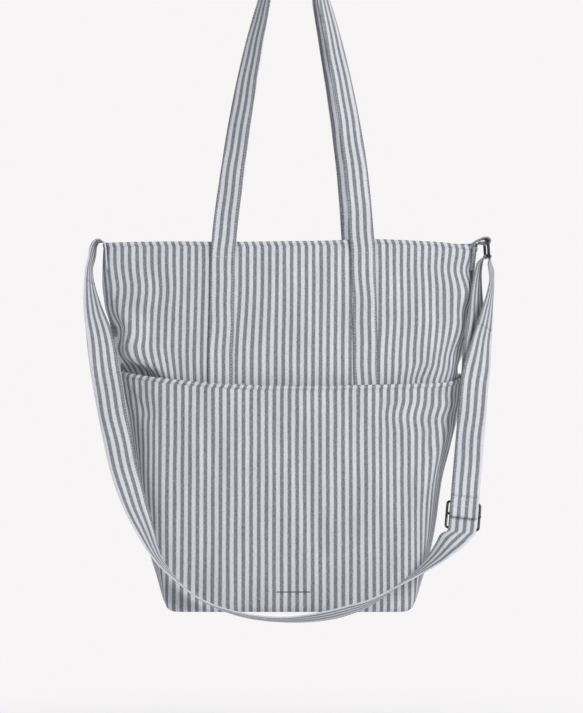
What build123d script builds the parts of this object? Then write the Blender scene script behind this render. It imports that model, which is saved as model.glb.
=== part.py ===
from build123d import *
import math
import os

# A striped canvas tote bag with two shoulder handles, an open front pocket and an adjustable
# crossbody strap. Millimetres, +Z up, the front faces -Y. The origin is where the bag hangs:
# the underside of the two handles at the top of their loops.

# ---- driving dimensions ------------------------------------------------------------------
handle_drop = 310.0
bag_height = 370.0
cloth = 1.5
clearance = 0.35

# Plan of the bag at three heights: half width, half depth at the side walls, half depth at
# the middle. The boxed base is a rectangle and the mouth is drawn nearly shut.
base_plan = (119.0, 70.0, 70.0)
waist_plan = (161.0, 32.0, 47.0)
rim_plan = (191.0, 16.0, 27.0)
waist_drop = 200.0
flat_front_share = 0.58

pocket_top_drop = 143.0
pocket_mouth_gap = 12.0
hem_height = 6.0
hem_thick = 1.2
hem_gap = 0.2
seam_binding_width = 8.0
seam_binding_thick = 1.2

handle_width = 25.0
handle_thick = 2.2
handle_spacing = 143.0
handle_leg_height = 290.0
handle_leg_lean = 4.5
handle_leg_radius = 1800.0
handle_sewn_length = 155.0
handle_crown_y = 14.0

strap_width = 27.0
strap_thick = 1.6
tab_width = 25.0
strap_hinge_lift = 2.5
anchor_depths = (30.0, 24.0, 18.0, 12.0, 6.0, 2.0)
rim_gap = 0.6

ring_inner_width = 30.0
ring_bar_spacing = 16.5
ring_wire = 3.0
ring_corner_radius = 2.6
ring_x = 202.5
ring_lean = 0.06

slider_length = 26.0
slider_inner_width = 30.0
slider_wire = 2.6
slider_bar_offset = 3.95
slider_frame_offset = 2.45
slider_distance = 286.0
slider_foot = (172.5, -67.0, -272.0)
end_wrap_height = 18.0

mark_size = (34.0, 1.2, 0.5)
mark_height = 10.0

# ---- levels worked out from them ---------------------------------------------------------
rim_z = -handle_drop
waist_z = rim_z - waist_drop
base_z = rim_z - bag_height
pocket_z = rim_z - pocket_top_drop
hinge_z = rim_z + strap_hinge_lift

FRONT = -1
BACK = 1

os.makedirs("parts", exist_ok=True)


def export_node(part, name):
    part.label = name
    export_step(part, f"parts/{name}.step")


# ---- plan of the bag ---------------------------------------------------------------------
def mix(low, high, share):
    return low + (high - low) * share


def plan_at(z):
    """Half width, side half depth and middle half depth of the bag's outside at height z."""
    if z >= waist_z:
        share = (z - waist_z) / (rim_z - waist_z)
        return [mix(a, b, share) for a, b in zip(waist_plan, rim_plan)]
    share = (z - base_z) / (waist_z - base_z)
    return [mix(a, b, share) for a, b in zip(base_plan, waist_plan)]


def half_outline(z, side, grow_x, grow_y, past_seam):
    """Corners of a half at height z: grow_x moves out its side, grow_y the middle of its face."""
    half_width, end_depth, middle_depth = plan_at(z)
    x_end = half_width + grow_x
    x_flat = half_width * flat_front_share
    y_end = side * (end_depth + grow_x)
    y_flat = side * (middle_depth + grow_y)
    y_seam = -side * past_seam
    return [
        (-x_end, y_seam, z),
        (-x_end, y_end, z),
        (-x_flat, y_flat, z),
        (x_flat, y_flat, z),
        (x_end, y_end, z),
        (x_end, y_seam, z),
    ]


def half_shell(side, outer, inner):
    """Cloth wall of one half: each row of outer and inner is a height and its two growths."""
    with BuildPart() as shell:
        for rows, past_seam, mode in ((outer, 0.0, Mode.ADD), (inner, 1.0, Mode.SUBTRACT)):
            for low, high in zip(rows, rows[1:]):
                corners = half_outline(low[0], side, low[1], low[2], past_seam)
                corners += half_outline(high[0], side, high[1], high[2], past_seam)
                ConvexPolyhedron(corners, mode=mode)
    return shell.part


# ---- straps ------------------------------------------------------------------------------
def across(tangent, turn):
    """Width direction of a strap: towards the front at turn 0, sideways at turn 90."""
    front = Vector(0, -1, 0)
    front = (front - tangent * front.dot(tangent)).normalized()
    side = tangent.cross(front)
    angle = math.radians(turn)
    return front * math.cos(angle) + side * math.sin(angle)


def strap_body(stations, width, thick):
    """Flat strap through stations, each a centre, a running direction and a width direction."""
    with BuildPart() as strap:
        for centre, tangent, wide in stations:
            with BuildSketch(Plane(origin=centre, x_dir=wide, z_dir=tangent)):
                Rectangle(width, thick)
        loft(ruled=True)
    return strap.part


def stations_along(points, turns, count):
    """Evenly spaced stations on a smooth line through points, with the turns spread between."""
    with BuildLine() as route:
        Spline(*points)
    line = route.line
    reach = [0.0]
    for first, second in zip(points, points[1:]):
        reach.append(reach[-1] + (Vector(*second) - Vector(*first)).length)
    stations = []
    for step in range(count + 1):
        share = step / count
        distance = share * reach[-1]
        span = max(i for i in range(len(points) - 1) if reach[i] <= distance or i == 0)
        local = (distance - reach[span]) / (reach[span + 1] - reach[span])
        turn = mix(turns[span], turns[span + 1], local)
        tangent = line % share
        stations.append((line @ share, tangent, across(tangent, turn)))
    return stations


# ---- bag body: panels, pocket, hems and seams ----------------------------------------------
def panel(side):
    heights = [base_z, waist_z, pocket_z, rim_z - hem_height, rim_z]
    outer = [(z, 0, 0) for z in heights]
    inner = [(z, -cloth, -cloth) for z in [base_z + cloth] + heights[1:]]
    return half_shell(side, outer, inner)


def pocket_gap(z):
    """Room between the front panel and the pocket, closing towards the base."""
    return clearance + pocket_mouth_gap * (z - base_z) / (pocket_z - base_z)


def pocket():
    heights = [base_z + cloth, waist_z, pocket_z]
    outer = [(z, clearance + cloth, pocket_gap(z) + cloth) for z in heights]
    inner = [(z, clearance, pocket_gap(z)) for z in heights]
    return half_shell(FRONT, outer, inner)


def pocket_hem():
    heights = [pocket_z - hem_height, pocket_z]
    side_gap = 2 * clearance + cloth
    outer = [(z, side_gap + hem_thick, pocket_gap(z) + side_gap + hem_thick) for z in heights]
    inner = [(z, side_gap, pocket_gap(z) + side_gap) for z in heights]
    return half_shell(FRONT, outer, inner)


def mouth_hem(side):
    heights = [rim_z - hem_height, rim_z]
    outer = [(z, hem_gap + hem_thick, hem_gap + hem_thick) for z in heights]
    inner = [(z, hem_gap, hem_gap) for z in heights]
    return half_shell(side, outer, inner)


def side_seam(side):
    """Bound seam allowance standing inwards along a side seam, below the sewn strap ends."""
    heights = [base_z + 2 * cloth + seam_binding_thick, waist_z, rim_z - anchor_depths[0] - 6.0]
    outside = [(side * (plan_at(z)[0] - cloth - 0.1), z) for z in heights]
    inside = [(x - side * seam_binding_width, z) for x, z in reversed(outside)]
    with BuildPart() as binding:
        with BuildSketch(Plane.XZ):
            Polygon(*(outside + inside), align=None)
        extrude(amount=seam_binding_thick / 2, both=True)
    return binding.part


def base_seam():
    """Bound seam allowance along the middle of the base."""
    with BuildPart(Plane.XY.offset(base_z + cloth + 0.1)) as binding:
        Box(
            2 * (base_plan[0] - 2 * cloth - 1.0),
            seam_binding_width,
            seam_binding_thick,
            align=(Align.CENTER, Align.CENTER, Align.MIN),
        )
    return binding.part


def panel_plane(side, x, stand_off):
    """Plane on the upper wall with its origin at the rim, its Y axis up the wall, Z outwards."""
    fall = (waist_plan[2] - rim_plan[2]) / waist_drop
    outwards = Vector(0, side, fall).normalized()
    origin = Vector(x, side * rim_plan[2], rim_z - 2 * clearance) + outwards * stand_off
    return Plane(origin=origin, x_dir=(-side, 0, 0), z_dir=outwards)


def sewn_leg(side, x):
    """Handle end lying flat on the panel, from inside the pocket up to the mouth."""
    with BuildPart(panel_plane(side, x, hem_gap + hem_thick + clearance)) as leg:
        Box(
            handle_width,
            handle_sewn_length,
            handle_thick,
            align=(Align.CENTER, Align.MAX, Align.MIN),
        )
    return leg.part


def mark_bar():
    """Plain stitched bar near the foot of the pocket."""
    z = base_z + mark_height
    front_y = -(plan_at(z)[2] + pocket_gap(z) + cloth + 0.3)
    with BuildPart(Plane(origin=(4.0, front_y, z), x_dir=(1, 0, 0), z_dir=(0, -1, 0))) as bar:
        Box(mark_size[0], mark_size[1], mark_size[2], align=(Align.CENTER, Align.CENTER, Align.MIN))
    return bar.part


# ---- handles -------------------------------------------------------------------------------
def handle_stations(side):
    """Up one leg, over the crown and down the other, turning flat over the crown."""
    mouth_y = side * (rim_plan[2] + hem_gap + hem_thick + clearance + handle_thick / 2)
    crown_y = side * handle_crown_y
    lean = math.radians(handle_leg_lean)
    end_lean = lean + handle_leg_height / handle_leg_radius
    crown_x = handle_spacing / 2 - math.tan(lean) * handle_leg_height
    crown_x = crown_x - handle_leg_height**2 / (2 * handle_leg_radius)
    crown_radius = crown_x / math.cos(end_lean)
    crown_z = handle_thick / 2 - crown_radius
    foot_z = rim_z + 2 * clearance
    leg_top_z = crown_z + crown_radius * math.sin(end_lean)
    leg_rows = 16
    crown_rows = 14
    left_leg = []
    for row in range(leg_rows):
        share = row / leg_rows
        height = share * handle_leg_height
        x = handle_spacing / 2 - math.tan(lean) * height - height**2 / (2 * handle_leg_radius)
        z = mix(foot_z, leg_top_z, share)
        slope = math.tan(lean) + height / handle_leg_radius
        rise = Vector(slope, (crown_y - mouth_y) / handle_leg_height, 1.0).normalized()
        turn = 90.0 * (1.0 - 0.7 * share - 0.3 * share**8)
        left_leg.append((Vector(-x, mix(mouth_y, crown_y, share), z), rise, turn))
    crown = []
    for row in range(crown_rows + 1):
        angle = mix(math.pi - end_lean, end_lean, row / crown_rows)
        centre = Vector(crown_radius * math.cos(angle), crown_y, crown_z + crown_radius * math.sin(angle))
        crown.append((centre, Vector(math.sin(angle), 0, -math.cos(angle)), 0.0))
    right_leg = []
    for centre, rise, turn in reversed(left_leg):
        falling = Vector(rise.X, -rise.Y, -rise.Z)
        right_leg.append((Vector(-centre.X, centre.Y, centre.Z), falling, turn))
    rows = left_leg + crown + right_leg
    return [(centre, tangent, across(tangent, turn)) for centre, tangent, turn in rows]


def handle(side):
    return strap_body(handle_stations(side), handle_width, handle_thick)


# ---- crossbody strap: sewn end, hanging run, ring, slider --------------------------------
def corner_route():
    """Half width and height of a strap end that rises inside a top corner and leads out."""
    inside_x = rim_plan[0] - cloth - rim_gap - strap_thick / 2
    wall_slope = (rim_plan[0] - waist_plan[0]) / waist_drop
    rising = [(inside_x - wall_slope * depth, rim_z - depth) for depth in anchor_depths]
    return rising + [
        (inside_x + 0.2, rim_z + 0.4),
        (inside_x + 2.2, hinge_z + 0.5),
        (rim_plan[0] + hem_thick + rim_gap, hinge_z + 0.6),
    ]


def strap_anchor():
    """Strap end sewn inside the left corner and arched over the rim."""
    points = [(-x, 0, z) for x, z in corner_route()]
    return strap_body(stations_along(points, [0] * len(points), 16), strap_width, strap_thick)


# Route of the hanging strap from the left corner to the slider: x, y, height above the rim,
# and the turn of its width, which faces sideways where the strap lies beside the bag.
strap_route = [
    (-194.4, 0.0, 2.6, 0.0),
    (-199.5, -1.0, -0.5, 0.0),
    (-203.0, -5.0, -9.0, 8.0),
    (-205.0, -13.0, -38.0, 35.0),
    (-195.5, -26.0, -89.0, 78.0),
    (-187.5, -38.0, -140.0, 88.0),
    (-178.0, -50.0, -190.0, 88.0),
    (-165.5, -62.0, -232.0, 80.0),
    (-150.0, -74.0, -272.0, 58.0),
    (-131.5, -86.0, -315.0, 12.0),
    (-87.5, -90.0, -355.0, -10.0),
    (-48.0, -90.0, -370.5, -18.0),
    (-6.0, -90.0, -376.0, -24.0),
    (35.0, -90.0, -371.0, -24.0),
    (77.0, -90.0, -359.0, -16.0),
    (121.0, -91.0, -337.0, 0.0),
    (146.0, -85.0, -322.0, 35.0),
]


def drop_frame():
    """Frame of the doubled drop: origin at the ring's upper bar, Z down along the straps."""
    ring_top = Vector(ring_x, 0, hinge_z)
    foot = Vector(slider_foot[0], slider_foot[1], rim_z + slider_foot[2])
    down = (foot - ring_top).normalized()
    wide = across(down, -90.0)
    return Plane(origin=ring_top, x_dir=wide, z_dir=down)


drop = drop_frame()


def at_drop(wide, depth, distance):
    """Point in the drop's frame: along the strap's width, through its thickness, down its run."""
    return drop.from_local_coords(Vector(wide, depth, distance))


front_sign = 1.0 if drop.y_dir.Y < 0 else -1.0
loop_end_distance = 92.0
slider_foot_distance = slider_distance + slider_length / 2 + 3.0
strap_opening = 10.0


def lower_run():
    """The strap from the left corner, down in front of the bag and up to the slider."""
    meeting = at_drop(0, 0, slider_foot_distance + strap_opening)
    points = [(x, y, rim_z + z) for x, y, z, turn in strap_route] + [tuple(meeting)]
    turns = [turn for x, y, z, turn in strap_route] + [84.0]
    return strap_body(stations_along(points, turns, 72), strap_width, strap_thick)


def drop_ply(depth, start, end):
    """Straight length of strap in the doubled drop."""
    with BuildPart(Plane(origin=at_drop(0, depth, start), x_dir=drop.x_dir, z_dir=drop.z_dir)) as ply:
        Box(
            strap_width,
            strap_thick,
            end - start,
            align=(Align.CENTER, Align.CENTER, Align.MIN),
        )
    return ply.part


def ring_loop():
    """Strap turned a quarter round and looped over the ring's lower bar."""
    ring_foot = Vector(ring_x + ring_lean * ring_bar_spacing, 0, hinge_z - ring_bar_spacing)
    neck = at_drop(0, front_sign * slider_bar_offset / 2, loop_end_distance - clearance)
    rise = (ring_foot - neck).normalized()
    loop_radius = (ring_wire + strap_thick) / 2 + 0.5
    rows = 10

    def ply_rows(way):
        plies = []
        for row in range(rows + 1):
            share = row / rows
            parting = mix(slider_bar_offset / 2, loop_radius, share)
            parting = parting + 3.0 * math.sin(math.pi * share) ** 2
            angle = math.radians(90.0 * min(share / 0.85, 1.0))
            front = (drop.y_dir * front_sign * (1 - share) + Vector(0, -1, 0) * share).normalized()
            right = rise.cross(front).normalized()
            parted = front * math.cos(angle) + right * math.sin(angle)
            wide = front * math.sin(angle) - right * math.cos(angle)
            centre = neck + (ring_foot - neck) * share + parted * parting * way
            plies.append((centre, wide))
        return plies

    bend_rows = 6
    bend = []
    for row in range(1, bend_rows):
        angle = math.pi * (1 - row / bend_rows)
        lift = Vector(math.cos(angle), 0, math.sin(angle)) * loop_radius
        bend.append((ring_foot + lift, Vector(0, -1, 0)))
    rows_all = ply_rows(-1) + bend + list(reversed(ply_rows(1)))
    last = len(rows_all) - 1
    stations = []
    for index, (centre, wide) in enumerate(rows_all):
        tangent = (rows_all[min(index + 1, last)][0] - rows_all[max(index - 1, 0)][0]).normalized()
        if index == 0:
            tangent = drop.z_dir * -1
        if index == last:
            tangent = drop.z_dir
        wide = (wide - tangent * wide.dot(tangent)).normalized()
        stations.append((centre, tangent, wide))
    return strap_body(stations, strap_width, strap_thick)


def wire_frame(plane, width, length, radius, wire):
    """Round wire bent into a closed rectangle with rounded corners, centred on the plane."""
    with BuildPart() as frame:
        with BuildSketch(plane) as outline:
            RectangleRounded(width, length, radius)
        path = outline.sketch.wires()[0]
        start = path @ 0
        with BuildSketch(Plane(origin=start, z_dir=path % 0)) as section:
            Circle(wire / 2)
        sweep(sections=section.sketch, path=path, mode=Mode.ADD)
    return frame.part


def side_ring():
    centre = Vector(ring_x + ring_lean * ring_bar_spacing / 2, 0, hinge_z - ring_bar_spacing / 2)
    plane = Plane(origin=centre, x_dir=(0, 1, 0), z_dir=(1, 0, ring_lean))
    return wire_frame(
        plane,
        ring_inner_width + ring_wire,
        ring_bar_spacing,
        ring_corner_radius,
        ring_wire,
    )


def slider_frame():
    centre = at_drop(0, -front_sign * slider_frame_offset, slider_distance)
    plane = Plane(origin=centre, x_dir=drop.x_dir, z_dir=drop.y_dir)
    return wire_frame(
        plane,
        slider_inner_width + slider_wire,
        slider_length,
        ring_corner_radius,
        slider_wire,
    )


def slider_bar():
    """Centre bar in front of the running strap, with a bent foot at each end to the frame."""
    half = (slider_inner_width + slider_wire) / 2
    front = front_sign * slider_bar_offset
    back = -front_sign * (slider_frame_offset - slider_wire / 2 - 0.1)
    corners = [
        at_drop(-half, back, slider_distance),
        at_drop(-half, front, slider_distance),
        at_drop(half, front, slider_distance),
        at_drop(half, back, slider_distance),
    ]
    with BuildPart() as bar:
        with BuildLine() as path:
            FilletPolyline(*corners, radius=1.5)
        with BuildSketch(Plane(origin=path.line @ 0, z_dir=path.line % 0)):
            Circle(slider_wire / 2)
        sweep()
    return bar.part


def end_wrap():
    """Strap end folded round the slider's centre bar and sewn back on itself."""
    front = front_sign * slider_bar_offset
    plane = Plane(
        origin=at_drop(-strap_width / 2, front, slider_distance),
        x_dir=drop.y_dir,
        z_dir=drop.x_dir,
    )
    up = 1.0 if plane.y_dir.Z > 0 else -1.0
    round_radius = slider_wire / 2 + 0.05 + strap_thick * 0.85
    with BuildPart() as wrap:
        with BuildSketch(plane):
            Circle(round_radius)
            with Locations((0, up * end_wrap_height / 2)):
                Rectangle(2 * strap_thick, end_wrap_height)
            Circle(slider_wire / 2 + 0.05, mode=Mode.SUBTRACT)
        extrude(amount=strap_width)
    return wrap.part


def ring_tab():
    """Tab base sewn inside the right corner and led out over the rim."""
    points = [(x, 0, z) for x, z in corner_route()]
    return strap_body(stations_along(points, [0] * len(points), 16), tab_width, strap_thick)


def ring_tab_loop():
    """End of the tab, folded round the ring's upper bar."""
    start_x = rim_plan[0] + hem_thick + rim_gap + 1.0
    bore = ring_wire / 2 + clearance
    with BuildPart() as loop:
        with BuildSketch(Plane.XZ.offset(-tab_width / 2)):
            with Locations((ring_x, hinge_z)):
                Circle(bore + strap_thick)
            with Locations(((start_x + ring_x) / 2, hinge_z)):
                Rectangle(ring_x - start_x, 2 * strap_thick)
            with Locations((ring_x, hinge_z)):
                Circle(bore, mode=Mode.SUBTRACT)
        extrude(amount=tab_width)
    return loop.part


# ---- everything, one file for each piece ---------------------------------------------------
export_node(panel(FRONT), "front_panel")
export_node(panel(BACK), "back_panel")
export_node(pocket(), "front_pocket")
export_node(pocket_hem(), "pocket_hem")
export_node(mouth_hem(FRONT), "front_mouth_hem")
export_node(mouth_hem(BACK), "back_mouth_hem")
export_node(side_seam(-1), "left_side_seam")
export_node(side_seam(1), "right_side_seam")
export_node(base_seam(), "base_seam")
for side, side_name in ((FRONT, "front"), (BACK, "back")):
    for leg_x, leg_name in ((-handle_spacing / 2, "left"), (handle_spacing / 2, "right")):
        export_node(sewn_leg(side, leg_x), f"{side_name}_{leg_name}_handle_end")
    export_node(handle(side), f"{side_name}_handle_loop")
export_node(mark_bar(), "stitched_mark")
export_node(strap_anchor(), "strap_anchor")
export_node(lower_run(), "crossbody_strap")
export_node(ring_tab(), "ring_tab")
export_node(ring_tab_loop(), "ring_tab_loop")
export_node(side_ring(), "side_ring")
export_node(ring_loop(), "strap_ring_loop")
export_node(
    drop_ply(0, loop_end_distance, slider_foot_distance),
    "strap_running_ply",
)
export_node(
    drop_ply(front_sign * slider_bar_offset, loop_end_distance, slider_distance - end_wrap_height - 0.2),
    "strap_return_ply",
)
export_node(end_wrap(), "strap_end_wrap")
export_node(slider_frame(), "slider_frame")
export_node(slider_bar(), "slider_bar")
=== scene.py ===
import math

import bpy
import numpy as np
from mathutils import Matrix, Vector


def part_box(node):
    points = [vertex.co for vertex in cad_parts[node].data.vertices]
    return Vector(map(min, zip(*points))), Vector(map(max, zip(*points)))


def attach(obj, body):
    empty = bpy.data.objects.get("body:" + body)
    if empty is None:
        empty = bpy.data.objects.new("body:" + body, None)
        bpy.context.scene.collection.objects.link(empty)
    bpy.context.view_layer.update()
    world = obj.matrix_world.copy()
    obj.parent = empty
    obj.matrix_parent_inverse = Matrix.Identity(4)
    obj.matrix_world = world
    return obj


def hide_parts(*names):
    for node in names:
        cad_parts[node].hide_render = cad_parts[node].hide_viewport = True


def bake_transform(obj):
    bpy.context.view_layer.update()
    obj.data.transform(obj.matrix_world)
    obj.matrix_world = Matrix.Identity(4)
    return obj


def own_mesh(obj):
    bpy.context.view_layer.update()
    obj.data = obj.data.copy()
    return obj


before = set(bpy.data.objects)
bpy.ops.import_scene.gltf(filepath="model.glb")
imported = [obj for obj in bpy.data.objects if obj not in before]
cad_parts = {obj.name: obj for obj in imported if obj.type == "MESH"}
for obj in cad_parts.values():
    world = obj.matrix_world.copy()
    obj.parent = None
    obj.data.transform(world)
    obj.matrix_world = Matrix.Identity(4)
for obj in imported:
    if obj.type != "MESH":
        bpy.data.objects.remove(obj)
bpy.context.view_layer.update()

# A striped canvas tote bag. Shapes are worked out in millimetres in the part's own frame
# (origin under the handles' crown, front towards -Y) and turned into metres when a mesh is made.
MM = 0.001
scene = bpy.context.scene

PANEL_LOW, PANEL_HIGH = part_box("front_panel")
RIM = PANEL_HIGH.z / MM
BASE = PANEL_LOW.z / MM
HEIGHT = RIM - BASE
HALF_CLOTH = PANEL_HIGH.x / MM
HINGE = RIM + 2.5

# Distance from one dark stripe to the next, and where a dark stripe's middle lies.
PANEL_PITCH = 7.47
PANEL_STRIPE_AT = 9.8
POCKET_PITCH = 7.64
STRAP_PITCH = 7.5
YARN_PITCH = 0.62
CLOTH = 0.9
POCKET_CLOTH = 0.8

# Sewing stitches: spacing, length, thread radius and how far they stand off the cloth.
EDGE_STITCH = dict(pitch=3.1, length=2.1, radius=0.26, lift=0.06)
HEM_STITCH = dict(pitch=3.0, length=2.4, radius=0.24, lift=0.0)
CROSS_STITCH = dict(pitch=2.6, length=2.4, radius=0.45, lift=0.4)
SEWN_STITCH = dict(pitch=2.9, length=2.2, radius=0.3, lift=0.1)
SATIN_STITCH = dict(pitch=1.1, length=1.7, radius=0.24, lift=0.1, slot=0)

CAMERA_PLACE = (0.002, -1.8, (RIM - 116.2) * MM)
CAMERA_LENS = 107.9
FLOOR_HEIGHT = -0.95
FLOOR_RADIUS = 1.1


# ---- camera, light and floor ----
def new_nodes(tree, *kinds):
    return [tree.nodes.new("ShaderNode" + kind) for kind in kinds]


def link(tree, *pairs):
    for source, socket in pairs:
        tree.links.new(source, socket)


def add_object(name, data, location):
    obj = bpy.data.objects.new(name, data)
    scene.collection.objects.link(obj)
    obj.location = location
    return obj


def add_camera():
    data = bpy.data.cameras.new("camera")
    data.sensor_fit = "HORIZONTAL"
    data.sensor_width = 36.0
    data.lens = CAMERA_LENS
    camera = add_object("camera", data, CAMERA_PLACE)
    camera.rotation_euler = (math.radians(90), 0, 0)
    scene.camera = camera


def add_area_light(name, location, target, size, power, colour):
    data = bpy.data.lights.new(name, "AREA")
    data.shape = "DISK"
    data.size = size
    data.energy = power
    data.color = colour
    light = add_object(name, data, location)
    aim = Vector(target) - Vector(location)
    light.rotation_euler = aim.to_track_quat("-Z", "Y").to_euler()


def add_world(backdrop, ambient):
    """A plain pale backdrop that gives the object a softer light than it shows."""
    world = bpy.data.worlds.new("studio")
    scene.world = world
    world.use_nodes = True
    tree = world.node_tree
    tree.nodes.clear()
    out, mix, rays, soft, shown = new_nodes(
        tree, "OutputWorld", "MixShader", "LightPath", "Background", "Background"
    )
    soft.inputs["Color"].default_value = (0.96, 0.98, 1.0, 1)
    soft.inputs["Strength"].default_value = ambient
    shown.inputs["Color"].default_value = (*backdrop, 1)
    link(
        tree,
        (rays.outputs["Is Camera Ray"], mix.inputs["Fac"]),
        (soft.outputs[0], mix.inputs[1]),
        (shown.outputs[0], mix.inputs[2]),
        (mix.outputs[0], out.inputs["Surface"]),
    )


def add_floor():
    """Pale floor disc well under the hanging bag, fading out towards its rim."""
    bpy.ops.mesh.primitive_circle_add(vertices=96, radius=FLOOR_RADIUS, fill_type="TRIFAN")
    floor = bpy.context.object
    floor.name = "studio_floor"
    floor.location = (0, 0, FLOOR_HEIGHT)
    material = bpy.data.materials.new("studio_floor")
    material.use_nodes = True
    tree = material.node_tree
    tree.nodes.clear()
    out, mix, paint, clear, place, reach, fade = new_nodes(
        tree, "OutputMaterial", "MixShader", "BsdfDiffuse", "BsdfTransparent", "TexCoord",
        "VectorMath", "MapRange",
    )
    reach.operation = "LENGTH"
    fade.interpolation_type = "SMOOTHERSTEP"
    fade.inputs["From Min"].default_value = 0.35
    fade.inputs["From Max"].default_value = 1.05
    paint.inputs["Color"].default_value = (0.86, 0.85, 0.855, 1)
    link(
        tree,
        (place.outputs["Object"], reach.inputs[0]),
        (reach.outputs["Value"], fade.inputs["Value"]),
        (fade.outputs["Result"], mix.inputs["Fac"]),
        (paint.outputs[0], mix.inputs[1]),
        (clear.outputs[0], mix.inputs[2]),
        (mix.outputs[0], out.inputs["Surface"]),
    )
    floor.data.materials.append(material)


add_camera()
add_world(backdrop=(0.930, 0.913, 0.921), ambient=0.47)
add_area_light("key", (1.5, -2.2, 0.7), (0, 0, -0.42), 1.3, 53.0, (1.0, 0.985, 0.97))
add_area_light("fill", (-1.9, -2.0, 0.1), (0, 0, -0.45), 1.6, 8.0, (0.95, 0.97, 1.0))
add_area_light("back", (0.4, 2.4, 0.8), (0, 0, -0.42), 1.6, 26.0, (1.0, 0.99, 0.98))
add_floor()
scene.view_settings.view_transform = "Standard"


# ---- materials ----
def new_material(name, place):
    """A material, its main shader, and where its pattern lies: on the flat cloth or the object."""
    material = bpy.data.materials.new(name)
    material.use_nodes = True
    tree = material.node_tree
    if place == "flat":
        node = tree.nodes.new("ShaderNodeUVMap")
        node.uv_map = "flat"
        where = node.outputs["UV"]
    else:
        where = tree.nodes.new("ShaderNodeTexCoord").outputs["Object"]
    return material, tree, tree.nodes["Principled BSDF"], where


def math_node(tree, operation, *values):
    node = tree.nodes.new("ShaderNodeMath")
    node.operation = operation
    for socket, value in zip(node.inputs, values):
        if isinstance(value, (int, float)):
            socket.default_value = value
        else:
            tree.links.new(value, socket)
    return node.outputs[0]


def weighted(tree, first, first_share, second, second_share):
    return math_node(
        tree, "ADD", math_node(tree, "MULTIPLY", first, first_share),
        math_node(tree, "MULTIPLY", second, second_share),
    )


def noise_node(tree, vector, scale, detail=2.0, roughness=0.5):
    node = tree.nodes.new("ShaderNodeTexNoise")
    node.inputs["Scale"].default_value = scale
    node.inputs["Detail"].default_value = detail
    node.inputs["Roughness"].default_value = roughness
    tree.links.new(vector, node.inputs["Vector"])
    return node.outputs["Fac"]


def cloth_noise(tree, flat, across, along, detail, roughness=0.5, scale=1.0):
    """Noise on the flat cloth, with its own fineness across and along the stripes."""
    node = tree.nodes.new("ShaderNodeVectorMath")
    node.operation = "MULTIPLY"
    node.inputs[1].default_value = (across, along, 1.0)
    tree.links.new(flat, node.inputs[0])
    return noise_node(tree, node.outputs[0], scale, detail, roughness)


def mixed(tree, factor, first, second):
    node = tree.nodes.new("ShaderNodeMix")
    node.data_type = "RGBA"
    tree.links.new(factor, node.inputs["Factor"])
    for socket, value in ((node.inputs["A"], first), (node.inputs["B"], second)):
        if isinstance(value, tuple):
            socket.default_value = (*value, 1)
        else:
            tree.links.new(value, socket)
    return node.outputs["Result"]


def map_range(tree, value, low, high, to_low=0.0, to_high=1.0):
    node = tree.nodes.new("ShaderNodeMapRange")
    tree.links.new(value, node.inputs["Value"])
    names = ("From Min", "From Max", "To Min", "To Max")
    for name, number in zip(names, (low, high, to_low, to_high)):
        node.inputs[name].default_value = number
    return node.outputs["Result"]


def finish_shader(tree, shader, colour, height, strength, distance, **numbers):
    """Links the colour and a bump, and sets the shader's plain numbers."""
    bump = tree.nodes.new("ShaderNodeBump")
    bump.inputs["Strength"].default_value = strength
    bump.inputs["Distance"].default_value = distance
    link(
        tree,
        (colour, shader.inputs["Base Color"]),
        (height, bump.inputs["Height"]),
        (bump.outputs["Normal"], shader.inputs["Normal"]),
    )
    for name, number in numbers.items():
        shader.inputs[name.replace("_", " ")].default_value = number


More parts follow.
